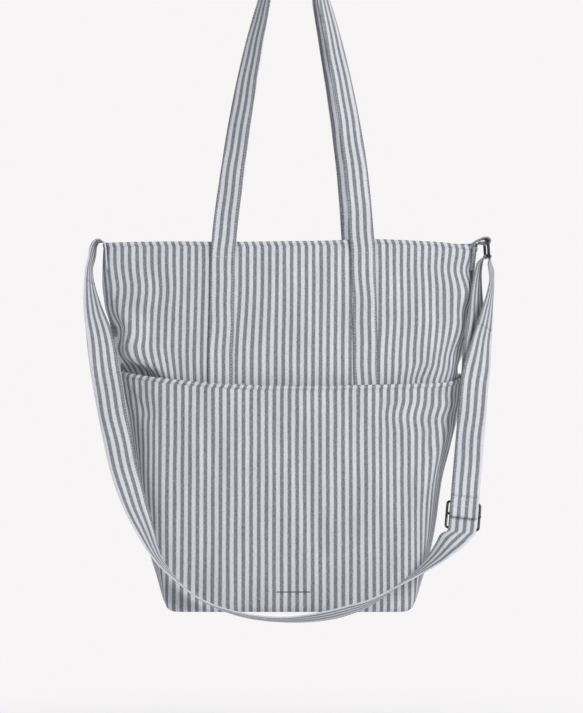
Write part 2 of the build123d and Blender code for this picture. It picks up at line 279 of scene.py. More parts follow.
def canvas_material(name, pitch, dark_at=0.0, tone=1.0):
    """Yarn-dyed canvas: heathered blue-grey stripes on a pale ground, with a plain weave."""
    material, tree, shader, flat = new_material(name, "flat")
    split = tree.nodes.new("ShaderNodeSeparateXYZ")
    tree.links.new(flat, split.inputs[0])
    across, along = split.outputs["X"], split.outputs["Y"]
    wander = cloth_noise(tree, flat, 9.0, 3.0, 2.0, scale=6.0)
    jitter = cloth_noise(tree, flat, 300.0, 900.0, 1.0)
    slub = cloth_noise(tree, flat, 900.0, 260.0, 3.0, 0.65)
    fleck = cloth_noise(tree, flat, 420.0, 1500.0, 2.0, 0.6)
    cloud = cloth_noise(tree, flat, 60.0, 16.0, 2.0)
    # The stripes' edges wander and are ragged by single yarns.
    place = math_node(tree, "ADD", across, weighted(tree, wander, 0.0011, jitter, 0.00055))
    per_metre = 2 * math.pi / (pitch * MM)
    mean_shift = 0.0008
    turns = math_node(
        tree, "MULTIPLY_ADD", place, per_metre, -per_metre * (dark_at * MM + mean_shift)
    )
    stripe = map_range(tree, math_node(tree, "COSINE", turns), -0.22, 0.30)
    heather = weighted(tree, slub, 0.5, fleck, 0.5)
    dark_low, dark_high, pale_low, pale_high = (
        tuple(tone * c for c in colour)
        for colour in (
            (0.105, 0.110, 0.132), (0.430, 0.440, 0.480),
            (0.585, 0.595, 0.665), (0.815, 0.822, 0.885),
        )
    )
    dark = mixed(tree, map_range(tree, heather, 0.34, 0.70), dark_low, dark_high)
    pale = mixed(tree, map_range(tree, heather, 0.30, 0.62), pale_low, pale_high)
    veil = tree.nodes.new("ShaderNodeHueSaturation")
    link(
        tree,
        (map_range(tree, cloud, 0.3, 0.7, 0.93, 1.06), veil.inputs["Value"]),
        (mixed(tree, stripe, pale, dark), veil.inputs["Color"]),
        (map_range(tree, slub, 0.2, 0.8, 0.78, 0.95), shader.inputs["Roughness"]),
    )
    yarn = 2 * math.pi / (YARN_PITCH * MM)
    warp, weft = (
        math_node(tree, "SINE", math_node(tree, "MULTIPLY", way, yarn)) for way in (across, along)
    )
    weave = weighted(tree, warp, weft, slub, 1.6)
    finish_shader(
        tree, shader, veil.outputs["Color"], weave, 0.55, 0.00022,
        Specular_IOR_Level=0.25, Sheen_Weight=0.12, Sheen_Roughness=0.5,
    )
    return material


def thread_material(name, low, high):
    """Twisted cotton thread with a little uneven dye."""
    material, tree, shader, place = new_material(name, "object")
    dye = mixed(tree, noise_node(tree, place, 900.0), low, high)
    twist = noise_node(tree, place, 2600.0)
    finish_shader(tree, shader, dye, twist, 0.5, 0.0001, Roughness=0.6)
    return material


def tape_material():
    """Plain pale cotton tape for the bound seams inside."""
    material, tree, shader, flat = new_material("pale_tape", "flat")
    fleck = cloth_noise(tree, flat, 900.0, 1400.0, 2.0)
    dye = mixed(tree, fleck, (0.62, 0.63, 0.69), (0.82, 0.83, 0.88))
    finish_shader(tree, shader, dye, fleck, 0.5, 0.0002, Roughness=0.88)
    return material


def hardware_material():
    """Glossy black-nickel wire, slightly uneven in its plating."""
    material, tree, shader, place = new_material("black_nickel", "object")
    cloud = noise_node(tree, place, 260.0, 3.0)
    plating = mixed(tree, cloud, (0.012, 0.012, 0.014), (0.03, 0.03, 0.034))
    tree.links.new(map_range(tree, cloud, 0.2, 0.8, 0.16, 0.34), shader.inputs["Roughness"])
    finish_shader(
        tree, shader, plating, cloud, 0.15, 0.0001,
        Metallic=0.55, Coat_Weight=0.4, Coat_Roughness=0.12,
    )
    return material


PANEL_CANVAS = canvas_material("canvas_panel", PANEL_PITCH, dark_at=PANEL_STRIPE_AT)
POCKET_CANVAS = canvas_material("canvas_pocket", POCKET_PITCH, tone=0.98)
STRAP_CANVAS = canvas_material("canvas_strap", STRAP_PITCH)
WHITE_THREAD = thread_material("white_thread", (0.74, 0.74, 0.77), (0.92, 0.92, 0.94))
DARK_THREAD = thread_material("dark_thread", (0.02, 0.02, 0.024), (0.07, 0.07, 0.08))
TAPE = tape_material()
BLACK_NICKEL = hardware_material()


# ---- mesh building ----
class Piece:
    """Collects surfaces in millimetres and makes one named object of them."""

    def __init__(self, name, *materials):
        self.name = name
        self.materials = materials
        self.points = []
        self.flat = []
        self.faces = []
        self.slots = []
        self.count = 0

    def add(self, points, faces, flat=None, slot=0):
        points = points.reshape(-1, 3)
        flat = np.zeros((len(points), 2)) if flat is None else flat.reshape(-1, 2)
        self.points.append(points)
        self.flat.append(flat)
        self.faces.extend(tuple(int(i) + self.count for i in face) for face in faces)
        self.slots.extend([slot] * len(faces))
        self.count += len(points)

    def build(self, *nodes, slot="striped_canvas"):
        """Makes the object, in place of the named nodes. Its slot argument is not used."""
        points = np.concatenate(self.points) * MM
        flat = np.concatenate(self.flat) * MM
        mesh = bpy.data.meshes.new(self.name)
        mesh.from_pydata(points.tolist(), [], self.faces)
        layer = mesh.uv_layers.new(name="flat")
        corner = np.zeros(len(mesh.loops), dtype=np.int32)
        mesh.loops.foreach_get("vertex_index", corner)
        layer.data.foreach_set("uv", flat[corner].astype(np.float32).ravel())
        mesh.polygons.foreach_set("material_index", np.array(self.slots, dtype=np.int32))
        mesh.polygons.foreach_set("use_smooth", [len(face) <= 4 for face in self.faces])
        for material in self.materials:
            mesh.materials.append(material)
        mesh.validate()
        mesh.update()
        obj = add_object(self.name, mesh, (0, 0, 0))
        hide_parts(*nodes)
        return obj


def grid_faces(rows, columns, flip=False, wrap=False):
    """Four-cornered faces between neighbouring points, closed round to the first column by wrap."""
    faces = []
    for row in range(rows - 1):
        for column in range(columns if wrap else columns - 1):
            here, right = row * columns + column, row * columns + (column + 1) % columns
            face = (here, here + columns, right + columns, right)
            faces.append(face[::-1] if flip else face)
    return faces


def add_tube(piece, points, flats, flip=False):
    """Closed tube through lines of points that lie side by side round it, with its two ends."""
    points = np.swapaxes(np.array(points), 0, 1)
    rows, columns = points.shape[:2]
    first = tuple(range(columns))
    last = tuple((rows - 1) * columns + k for k in range(columns))
    ends = [first[::-1], last] if flip else [first, last[::-1]]
    faces = grid_faces(rows, columns, flip, wrap=True) + ends
    piece.add(points, faces, np.swapaxes(np.array(flats), 0, 1))


def unit(vectors):
    vectors = np.asarray(vectors, float)
    return vectors / np.maximum(np.linalg.norm(vectors, axis=-1, keepdims=True), 1e-9)


def grid_normals(points):
    down = np.gradient(points, axis=0)
    right = np.gradient(points, axis=1)
    return unit(np.cross(down, right))


def wide_enough(points, faces, least):
    """The four-cornered faces that are larger than the least area."""
    corners = points[np.array(faces)]
    diagonals = np.cross(corners[:, 2] - corners[:, 0], corners[:, 3] - corners[:, 1])
    areas = 0.5 * np.linalg.norm(diagonals, axis=1)
    return [face for face, area in zip(faces, areas) if area > least]


def distances_along(points):
    """Distance of each point from the first, along the line through them."""
    return np.concatenate([[0], np.cumsum(np.linalg.norm(np.diff(points, axis=0), axis=1))])


def add_cloth(piece, points, flat, thickness):
    """Adds a cloth of two faces and closed edges: points is its outer face, rows by columns."""
    rows, columns = points.shape[:2]
    inner = points - grid_normals(points) * thickness
    outer_faces = wide_enough(points.reshape(-1, 3), grid_faces(rows, columns), 0.02)
    size = rows * columns
    inner_faces = [tuple(i + size for i in face[::-1]) for face in outer_faces]
    foot, end = (rows - 1) * columns, columns - 1
    border = [(c + 1, c) for c in range(end)]
    border += [(foot + c, foot + c + 1) for c in range(end)]
    border += [(r * columns, (r + 1) * columns) for r in range(rows - 1)]
    border += [((r + 1) * columns + end, r * columns + end) for r in range(rows - 1)]
    edges = [(first, second, second + size, first + size)[::-1] for first, second in border]
    faces = outer_faces + inner_faces + edges
    both = np.concatenate([points.reshape(-1, 3), inner.reshape(-1, 3)])
    piece.add(both, wide_enough(both, faces, 0.01), np.concatenate([flat.reshape(-1, 2)] * 2))


def add_dashes(piece, line, normals, pitch, length, radius, lift, slot=1):
    """Sewing stitches along a line on a cloth whose normals are given."""
    reach = distances_along(line)
    count = int((reach[-1] - 0.5) / pitch)
    if count < 1:
        return
    middles = (np.arange(count) + 0.5) * pitch

    def at(distances, values):
        return np.stack([np.interp(distances, reach, column) for column in values.T], axis=1)

    centre = at(middles, line)
    ahead = unit(at(middles + length / 2, line) - at(middles - length / 2, line))
    up = unit(at(middles, normals))
    side = unit(np.cross(up, ahead))
    centre = centre + up * lift
    half = ahead * (length / 2)
    side, up = side * radius, up * radius
    ring = [centre + side, centre + up, centre - side, centre - up]
    corners = np.stack([centre - half - up * 0.6, *ring, centre + half - up * 0.6], axis=1)
    faces = []
    for first in range(0, 6 * count, 6):
        for k in range(4):
            a, b = first + 1 + k, first + 1 + (k + 1) % 4
            faces += [(first, b, a), (first + 5, a, b)]
    piece.add(corners, faces, slot=slot)


# ---- smooth lines ----
def smooth_values(knots, values, wanted):
    """Smooth curve through values at rising knots, without overshoot."""
    knots, values, wanted = (np.asarray(each, float) for each in (knots, values, wanted))
    steps = np.diff(knots)
    slopes = np.diff(values) / steps
    tangents = np.zeros_like(values)
    tangents[0], tangents[-1] = slopes[0], slopes[-1]
    same = slopes[:-1] * slopes[1:] > 0
    heavy = 2 * steps[1:] + steps[:-1]
    light = steps[1:] + 2 * steps[:-1]
    with np.errstate(divide="ignore", invalid="ignore"):
        middle = (heavy + light) / (heavy / slopes[:-1] + light / slopes[1:])
    tangents[1:-1] = np.where(same, middle, 0.0)
    wanted = np.clip(wanted, knots[0], knots[-1])
    span = np.clip(np.searchsorted(knots, wanted, side="right") - 1, 0, len(steps) - 1)
    h = steps[span]
    t = (wanted - knots[span]) / h
    return (
        (2 * t**3 - 3 * t**2 + 1) * values[span]
        + (t**3 - 2 * t**2 + t) * h * tangents[span]
        + (3 * t**2 - 2 * t**3) * values[span + 1]
        + (t**3 - t**2) * h * tangents[span + 1]
    )


def smooth_path(points, extras, spacing):
    """Evenly spaced points on a centripetal Catmull-Rom line, with extra values carried along."""
    every = np.column_stack([points, extras]).astype(float)
    gaps = np.sqrt(np.maximum(np.linalg.norm(np.diff(every[:, :3], axis=0), axis=1), 1e-6))
    knots = np.concatenate([[0], np.cumsum(gaps)])
    full = np.vstack([2 * every[0] - every[1], every, 2 * every[-1] - every[-2]])
    knots = np.concatenate([[-gaps[0]], knots, [knots[-1] + gaps[-1]]])

    def mix(low, high, first, second):
        low, high = knots[low], knots[high]
        return (high - t) / (high - low) * first + (t - low) / (high - low) * second

    dense = []
    for i in range(1, len(full) - 2):
        t = np.linspace(knots[i], knots[i + 1], 60, endpoint=False)[:, None]
        lines = [mix(i + k, i + k + 1, full[i + k], full[i + k + 1]) for k in (-1, 0, 1)]
        before = mix(i - 1, i + 1, lines[0], lines[1])
        after = mix(i, i + 2, lines[1], lines[2])
        dense.append(mix(i, i + 1, before, after))
    return evenly(np.vstack(dense + [every[-1:]]), spacing)


def evenly(values, spacing):
    """Resamples rows whose first three columns are a point, at even distances."""
    reach = distances_along(values[:, :3])
    wanted = np.linspace(0, reach[-1], max(2, int(round(reach[-1] / spacing)) + 1))
    return np.column_stack([np.interp(wanted, reach, column) for column in values.T])


def hill(value, centre, spread):
    return np.exp(-(((value - centre) / spread) ** 2))


def ramp(value, start, end):
    t = np.clip((value - start) / (end - start), 0, 1)
    return t * t * (3 - 2 * t)


# ---- the bag's shape ----
def curve(*pairs):
    """Smooth function of the depth in mm below the rim, through pairs of depth and value."""
    knots, values = zip(*pairs)
    return lambda depth: smooth_values(knots, values, depth)


# The bag's level sections go from the middle of a face round a corner to the side seam. SEAM and
# CORNER curves give how far out they lie, CORNER_DEPTH and MIDDLE_DEPTH how far forward, and
# ROUND curves how softly the corner turns.
LEFT_SEAM = curve(
    (0, 191), (20, 192.5), (40, 192.9), (56, 191.3), (68, 189.6), (80, 185.6), (90, 183.6),
    (102, 181), (135, 176), (170, 169), (205, 162), (240, 158), (290, 151), (321, 143), (343, 136),
    (362, 129), (HEIGHT, 124),
)
RIGHT_SEAM = curve(
    (0, 193), (20, 191), (43, 188.5), (55, 187), (67, 186), (82, 184), (97, 182.5), (111, 179.5),
    (120, 175.5), (128, 172.5), (140, 175.5), (170, 173), (205, 165), (240, 156.5), (290, 150),
    (331, 141), (343, 136.5), (360, 130), (HEIGHT, 124.5),
)
LEFT_CORNER = curve(
    (0, 187), (20, 187), (40, 184.5), (70, 177), (100, 168), (135, 162), (170, 155), (205, 150),
    (240, 145), (290, 135), (331, 127.5), (355, 124), (HEIGHT, 121.5),
)
RIGHT_CORNER = curve(
    (0, 188), (20, 184), (40, 181), (70, 177), (100, 173.5), (125, 168), (150, 165), (170, 161),
    (205, 153.5), (240, 147), (290, 138), (331, 129.5), (355, 125), (HEIGHT, 121.5),
)
LEFT_PANEL_CORNER = curve(
    (0, 187), (20, 187), (40, 184.5), (60, 178), (75, 169.5), (87, 161.5), (97, 161), (111, 160.5),
    (121, 156), (132, 146), (146, 142), (180, 143), (240, 141), (290, 131), (331, 124),
    (355, 121), (HEIGHT, 119),
)
CORNER_DEPTH = curve(
    (0, 9), (20, 13), (40, 17), (70, 22), (100, 26), (135, 30), (170, 35), (205, 43), (240, 51),
    (290, 58), (331, 64), (355, 67), (HEIGHT, 69),
)
MIDDLE_DEPTH = curve(
    (0, 23), (20, 27), (40, 30), (70, 34), (100, 38), (135, 43), (170, 47), (205, 51), (240, 56),
    (290, 61), (331, 65.5), (355, 68), (HEIGHT, 69.5),
)
PANEL_ROUND = curve(
    (0, 4), (40, 6), (110, 7), (140, 18), (170, 40), (205, 36), (240, 32), (290, 26), (331, 16),
    (HEIGHT, 9),
)
POCKET_ROUND = curve(
    (0, 16), (130, 34), (170, 32), (205, 28), (240, 25), (290, 20), (331, 12), (HEIGHT, 6)
)

HALF_COLUMNS = 72
ROW_STEP = 3.0
FACE_CROWN = 2.6
SIDE_BULGE = 1.2
EDGE_ROUND = 8.0
COLUMNS = np.linspace(-HALF_CLOTH, HALF_CLOTH, 2 * HALF_COLUMNS + 1)


def half_section(depth, seam, corner, rounding, inset):
    """One side of the section from the middle to the seam: x, y and length along the cloth."""
    seam_x = float(seam(depth)) - inset
    corner_x = float(corner(depth)) - inset
    corner_y = float(CORNER_DEPTH(depth)) - inset
    middle_y = float(MIDDLE_DEPTH(depth)) - inset
    soft = float(rounding(depth))
    x = np.linspace(0, corner_x - soft, 70)
    crown = (middle_y - corner_y) * (1 - (x / corner_x) ** FACE_CROWN)
    face = np.column_stack([x, corner_y + crown])
    vertex = np.array([corner_x, corner_y])
    seam_point = np.array([seam_x, 0.0])
    long = np.linalg.norm(seam_point - vertex)
    away = (seam_point - vertex) / long
    turn_end = vertex + away * min(soft, 0.6 * long)
    t = np.linspace(0, 1, 18)[1:, None]
    bend = (1 - t) ** 2 * face[-1] + 2 * t * (1 - t) * vertex + t**2 * turn_end
    r = np.linspace(0, 1, 24)[1:, None]
    side = turn_end + (seam_point - turn_end) * r
    side = side + np.array([-away[1], away[0]]) * np.sin(math.pi * r) * SIDE_BULGE
    line = np.vstack([face, bend, side])
    reach = distances_along(line)
    cloth = reach + (HALF_CLOTH - reach[-1]) * (reach / reach[-1]) ** 3
    wanted = np.linspace(0, HALF_CLOTH, HALF_COLUMNS + 1)
    return np.column_stack([np.interp(wanted, cloth, values) for values in (*line.T, reach)])


def section(depth, sides, inset=0.0):
    """The front half of the bag at a depth, from left seam to right: points and cloth length."""
    left, right = (half_section(depth, *side, inset) for side in sides)
    whole = np.vstack([left[::-1] * (-1, -1, -1), right[1:] * (1, -1, 1)])
    return np.insert(whole, 2, RIM - depth, axis=1)


WALL_DEPTHS = np.arange(0, HEIGHT - EDGE_ROUND + 0.01, ROW_STEP)


def wall_grid(sides):
    """The bag's wall and rounded foot edge, rows by columns, with each row's depth."""
    rows = [section(depth, sides) for depth in WALL_DEPTHS]
    depths = list(WALL_DEPTHS)
    for angle in np.radians([18, 36, 54, 72, 90]):
        level = HEIGHT - EDGE_ROUND * (1 - math.sin(angle))
        rows.append(section(level, sides, EDGE_ROUND * (1 - math.cos(angle))))
        depths.append(WALL_DEPTHS[-1] + EDGE_ROUND * angle)
    rows = np.array(rows)
    return rows[..., :3], rows[..., 3], np.array(depths)


def soft_waves(across, depth, seed, size):
    """Low, mostly upright undulation of hanging canvas."""
    random = np.random.default_rng(seed)
    total = np.zeros(np.broadcast(across, depth).shape)
    for _ in range(14):
        wide = random.uniform(26, 75)
        tall = random.uniform(70, 210) * random.choice([-1, 1])
        start = random.uniform(0, 2 * math.pi)
        wave = np.sin(2 * math.pi * (across / wide + depth / tall) + start)
        total = total + wave * random.uniform(0.4, 1.0)
    return total * size / 3.0


def crease(across, depth, start, end, spread, height):
    """A soft fold along a straight line on the flat cloth, highest at its middle."""
    start = np.array(start, float)
    run = np.array(end, float) - start
    length = np.linalg.norm(run)
    run = run / length
    along = (across - start[0]) * run[0] + (depth - start[1]) * run[1]
    off = -(across - start[0]) * run[1] + (depth - start[1]) * run[0]
    share = along / length
    return height * hill(off, 0, spread) * ramp(share, -0.15, 0.3) * (1 - ramp(share, 0.75, 1.15))


PANEL_SIDES = ((LEFT_SEAM, LEFT_PANEL_CORNER, PANEL_ROUND), (RIGHT_SEAM, RIGHT_CORNER, PANEL_ROUND))
POCKET_SIDES = ((LEFT_SEAM, LEFT_CORNER, POCKET_ROUND), (RIGHT_SEAM, RIGHT_CORNER, POCKET_ROUND))
BACK_SIDES = ((RIGHT_SEAM, RIGHT_CORNER, PANEL_ROUND), (LEFT_SEAM, LEFT_CORNER, PANEL_ROUND))
PANEL_WALL, PANEL_LENGTH, ROW_DEPTHS = wall_grid(PANEL_SIDES)
POCKET_WALL, POCKET_LENGTH, _ = wall_grid(POCKET_SIDES)
BACK_WALL, BACK_LENGTH, _ = wall_grid(BACK_SIDES)
U, D = np.meshgrid(COLUMNS, ROW_DEPTHS)


def off_seams(start, end=191):
    """Full in the middle of the cloth, fading out towards both seams."""
    return 1 - ramp(np.abs(U), start, end)


def waves(seed, size):
    """Soft waves that leave the rim, the foot and the seams still."""
    still = ramp(D, 0, 40) * (1 - ramp(D, 330, 362)) * off_seams(178, 190)
    return soft_waves(U, D, seed, size) * still


def creases(*folds):
    """Folds given by start, end, spread and height. A hollow has a height below 0."""
    return sum(crease(U, D, *fold) for fold in folds)


def strength(across, *pairs):
    """Strength of a fold over the cloth's width, through pairs of a place and a value."""
    knots, values = zip(*pairs)
    return smooth_values(knots, values, across)


def raised(grid, outwards):
    return grid + grid_normals(grid) * outwards[..., None]


def panel_pull():
    """How far the front's stripes are pulled to the right of where they start at the rim."""
    left = hill(D, 49, 17) * strength(
        U, (-178, 4.4), (-162, 3.8), (-147, 3.6), (-132, 2.4), (-116, 1.2), (-104, 0)
    )
    left += hill(D, 91, 15) * strength(
        U, (-178, 10), (-170, 8.6), (-162, 5.6), (-155, 3.7), (-147, 1.6), (-138, 0)
    )
    left += ramp(D, 104, 144) * strength(
        U, (-178, 26), (-170, 23), (-162, 16), (-155, 13), (-147, 10), (-140, 8.5), (-132, 7.6),
        (-124, 4.6), (-116, 3), (-104, 1), (-90, 0),
    )
    left -= ramp(D, 36, 124) * strength(
        U, (-140, 0), (-124, 0.9), (-102, 1.4), (-86, 1.6), (-70, 2.4), (-49, 3.6), (-20, 1.7),
        (10, 1), (60, 0.9), (100, 0),
    )
    right = hill(D, 26, 13) * strength(
        U, (100, 0), (120, 0.5), (135, 0.9), (149, 1.4), (164, 2.4), (178, 3.4)
    )
    right += ramp(D, 76, 124) * strength(
        U, (60, 0), (80, 1.5), (100, 2.2), (120, 2.6), (135, 3.3), (149, 5.8), (164, 9.6),
        (178, 10.5),
    )
    right += ramp(D, 121, 144) * strength(
        U, (95, 0), (112, 1.6), (120, 2.8), (127, 5), (135, 7), (149, 6.2), (164, 2.6), (178, 1.2)
    )
    right += ramp(D, 50, 76) * strength(U, (164, 0), (170, 0.8), (178, 3))
    return (left - right) * off_seams(179)


def pocket_pull():
    """The same for the pocket, from its upper edge downwards."""
    right = strength(U, (84, 0), (112, 3.6), (135, 4.8), (165, 4.4))
    right *= ramp(D, 160, 178) - 0.42 * ramp(D, 180, 193)
    late = strength(U, (120, 226), (135, 214), (165, 196))
    right += strength(U, (118, 0), (134, 3.2), (145, 4.4), (165, 5.6)) * ramp(D - late, 0, 36)
    left = strength(U, (-170, 4.4), (-150, 3.4), (-132, 0))
    left *= ramp(D, 156, 178) - ramp(D, 200, 300)
    return (left - right) * off_seams(174)


def rim_rise(across):
    """How far the front's rim stands above its mean level."""
    return strength(
        across, (-191, 0), (-120, 0.7), (-60, 0.1), (0, 0.7), (30, 1.1), (88, 2.8), (128, 1.4),
        (151, 0.2), (173, -2.3), (191, -4.2),
    )


def front_panel_grid():
    """The front above the pocket: canvas pulled into folds at both top corners."""
    calm = ramp(D, 2, 22) * off_seams(184)
    relief = waves(3, 0.5)
    corner = -LEFT_PANEL_CORNER(D)
    x = PANEL_WALL[..., 0]
    ridge = ramp(x, corner - 12, corner + 1) * (1 - ramp(x, corner + 2, corner + 24))
    relief += 8.0 * ridge * ramp(D, 62, 88) * (1 - ramp(D, 118, 140))
    relief -= 9.0 * hill(x, corner - 4, 9) * ramp(D, 112, 134)
    relief += 2.6 * hill(D, 50, 14) * hill(x, -160, 26) - 2.0 * hill(D, 76, 11) * hill(x, -150, 20)
    relief += creases(
        ((-150, 104), (-118, 142), 6.0, 2.0), ((-164, 108), (-132, 144), 6.0, -2.4),
        ((112, 136), (170, 84), 8.0, 2.0), ((126, 146), (180, 98), 8.0, -2.6),
    )
    relief -= 2.6 * hill(D, 27, 11) * ramp(x, 140, 172)
    relief += 2.2 * hill(D, 52, 12) * ramp(x, 146, 174) - 1.6 * hill(D, 70, 10) * ramp(x, 160, 176)
    tuck = 3.0 * ramp(D, 126, 150) * (1 - ramp(D, 350, 366)) + 1.2 * ramp(D, 350, 366)
    grid = raised(PANEL_WALL, relief * calm - tuck)
    grid[..., 2] += rim_rise(U) * (1 - ramp(D, 0, 60))
    return grid


def pocket_grid():
    """The front pocket: it stands a little off the panel at its mouth and creases at its ends."""
    stand = 0.4 + (1.2 + 2.2 * off_seams(90, 170)) * (1 - ramp(D, 140, 290))
    relief = waves(11, 0.45) + creases(
        ((92, 186), (172, 164), 7.0, 1.7), ((100, 172), (172, 152), 7.0, -1.7),
        ((168, 180), (128, 260), 7.0, 2.6), ((150, 182), (112, 256), 7.5, -2.2),
        ((-170, 150), (-140, 180), 6.0, -2.0), ((-160, 140), (-134, 174), 6.0, -1.3),
        ((84, 232), (112, 330), 9.0, 1.0),
    )
    return raised(POCKET_WALL, stand + relief * off_seams(184))


def back_panel_grid():
    """The back, shaped as if it were a front and then turned round."""
    relief = waves(21, 0.8) + creases(
        ((-168, 60), (-140, 140), 8.0, -3.0), ((-150, 50), (-122, 130), 9.0, 2.0),
        ((166, 70), (138, 150), 8.0, -3.0), ((148, 62), (120, 140), 9.0, 2.0),
        ((-120, 150), (120, 158), 11.0, -1.4),
    )
    calm = ramp(D, 2, 22) * off_seams(184)
    return raised(BACK_WALL, relief * calm) * np.array([-1.0, -1.0, 1.0])


PANEL = front_panel_grid()
POCKET = pocket_grid()
BACK = back_panel_grid()
RIM_EASE = strength(U, (-191, 2.8), (-87, 0), (87, 0), (191, 2.4))
PANEL_FLAT = PANEL_LENGTH - panel_pull() + RIM_EASE
POCKET_FLAT = POCKET_LENGTH - pocket_pull()


def cell(places, lines):
    """Which of the grid's cells the places lie in, and how far across it."""
    spot = np.interp(np.asarray(places, float), lines, np.arange(len(lines)))
    spot = np.clip(spot, 0, len(lines) - 1.001)
    first = spot.astype(int)
    return first, (spot - first)[..., None]


def between(values, across, depth):
    """Values of a grid, rows by columns by components, at places across and down the cloth."""
    (c, cf), (r, rf) = cell(across, COLUMNS), cell(depth, ROW_DEPTHS)
    top = values[r, c] * (1 - cf) + values[r, c + 1] * cf
    foot = values[r + 1, c] * (1 - cf) + values[r + 1, c + 1] * cf
    return top * (1 - rf) + foot * rf


def sample(grid, across, depth, lift):
    """Points and normals on a cloth, lifted off it."""
    normal = unit(between(grid_normals(grid), across, depth))
    return between(grid, across, depth) + normal * np.asarray(lift, float)[..., None], normal


BASE_SHARES = np.linspace(0, 1, 17)[1:, None]
BASE_RISE = 0.5


def add_panel(name, grid, flat_across, node):
    """A wall and the half of the boxed base under it, as far as the seam across the base."""
    piece = Piece(name, PANEL_CANVAS)
    x, y, z = grid[-1].T
    level = np.ones_like(BASE_SHARES)
    rise = BASE_RISE * np.sin(math.pi * BASE_SHARES)
    base = np.stack([x * level, y * (1 - BASE_SHARES), z + rise], axis=-1)
    depth = np.concatenate([D, ROW_DEPTHS[-1] + BASE_SHARES * np.abs(y)])
    flat_whole = np.concatenate([flat_across, flat_across[-1] * level])
    add_cloth(piece, np.concatenate([grid, base]), np.stack([flat_whole, -depth], axis=-1), CLOTH)
    return piece.build(node)


def pocket_top(across):
    """Depth of the pocket's upper edge, which dips in the middle."""
    left = 13.0 * (np.maximum(-across, 0) / 166) ** 2
    right = 3.2 * (np.maximum(across, 0) / 160) ** 2
    return 146.4 - left - right - 2.5 * ramp(across, 150, 178) - 5.0 * ramp(across, 175, 191)


def add_pocket():
    piece = Piece("pocket_cloth", POCKET_CANVAS)
    top = pocket_top(COLUMNS)
    shares = np.linspace(0, 1, 80)[:, None]
    depth = top[None, :] + shares * (ROW_DEPTHS[-1] - top)[None, :]
    across = np.broadcast_to(COLUMNS, depth.shape)
    points = between(POCKET, across, depth)
    flat_across = between(POCKET_FLAT[..., None], across, depth)[..., 0]
    add_cloth(piece, points, np.stack([flat_across, -depth], axis=-1), POCKET_CLOTH)
    return piece.build("front_pocket")


HEM_HALF_HEIGHT = 2.5
HEM_HALF_THICK = 1.3
HEM_POINTS = 300


def add_hem(name, grid, flat_across, edge, lean, material, node):
    """Narrow rolled hem along an upper edge. Its stripes lean where the roll has twisted."""
    piece = Piece(name, material, WHITE_THREAD)
    along = np.linspace(-HALF_CLOTH, HALF_CLOTH, HEM_POINTS)
    inwards = np.full(HEM_POINTS, -0.3)
    centre, normal = sample(grid, along, edge(along) + HEM_HALF_HEIGHT - 0.6, inwards)
    above, _ = sample(grid, along, np.maximum(edge(along) - 0.5, 0), inwards)
    up = unit(above - centre + np.array([0, 0, 0.2]))
    flat_along = between(flat_across[..., None], along, edge(along) + 5.0)[:, 0]
    angles = np.radians(np.linspace(-90, 270, 17)[:-1])
    points = []
    flats = []
    for step, angle in enumerate(angles):
        rise = math.sin(angle) * HEM_HALF_HEIGHT
        wobble = 0.1 * np.sin(along * 2 * math.pi / 9.0 + step)
        out = math.cos(angle) * (HEM_HALF_THICK + wobble)
        points.append(centre + normal * out[:, None] + up * rise)
        climbed = step / len(angles) * 2 * (2 * HEM_HALF_HEIGHT + HEM_HALF_THICK)
        flat = flat_along - lean(along) * climbed
        flats.append(np.stack([flat, np.full_like(along, climbed)], axis=1))
    add_tube(piece, points, flats, flip=True)
    line = centre + normal * (HEM_HALF_THICK * 0.98) + up * 0.2 * HEM_HALF_HEIGHT
    add_dashes(piece, line[4:-4], normal[4:-4], **HEM_STITCH)
    return piece.build(node)


def mouth_edge(across):
    return np.zeros_like(across)


def mouth_lean(across):
    return np.full_like(across, -0.42)


def pocket_lean(across):
    """The pocket's hem has twisted more towards its left end."""
    return strength(across, (-191, 0.85), (-60, 0.6), (0, 0.1), (60, 0.1), (191, 0.35))


front_cloth = add_panel("front_cloth", PANEL, PANEL_FLAT, "front_panel")
back_cloth = add_panel("back_cloth", BACK, BACK_LENGTH, "back_panel")
pocket_cloth = add_pocket()
front_hem = add_hem(
    "front_mouth_roll", PANEL, PANEL_FLAT, mouth_edge, mouth_lean, PANEL_CANVAS, "front_mouth_hem"
)
back_hem = add_hem(
    "back_mouth_roll", BACK, BACK_LENGTH, mouth_edge, mouth_lean, PANEL_CANVAS, "back_mouth_hem"
)
pocket_roll = add_hem(
    "pocket_roll", POCKET, POCKET_FLAT, pocket_top, pocket_lean, POCKET_CANVAS, "pocket_hem"
)
for obj in (front_cloth, back_cloth, pocket_cloth, front_hem, back_hem, pocket_roll):
    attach(obj, "bag")


# ---- flat straps ----
def across(tangent, turn):
    """Width direction of a strap: towards the front at turn 0, sideways at turn 90."""
    tangent = unit(tangent)
    front = unit(np.array([0.0, -1.0, 0.0]) + tangent * tangent[..., 1:2])
    side = np.cross(tangent, front)
    angle = np.radians(np.asarray(turn, float))[..., None]
    return front * np.cos(angle) + side * np.sin(angle)


# Half of a strap's section: places across it, and its thickness there.
SPOTS = (-1.0, -0.94, -0.8, -0.55, -0.28, 0.0, 0.28, 0.55, 0.8, 0.94, 1.0)
SWELL = (0.35, 0.8, 0.9, 1.0, 1.0, 1.0, 1.0, 1.0, 0.9, 0.8, 0.35)


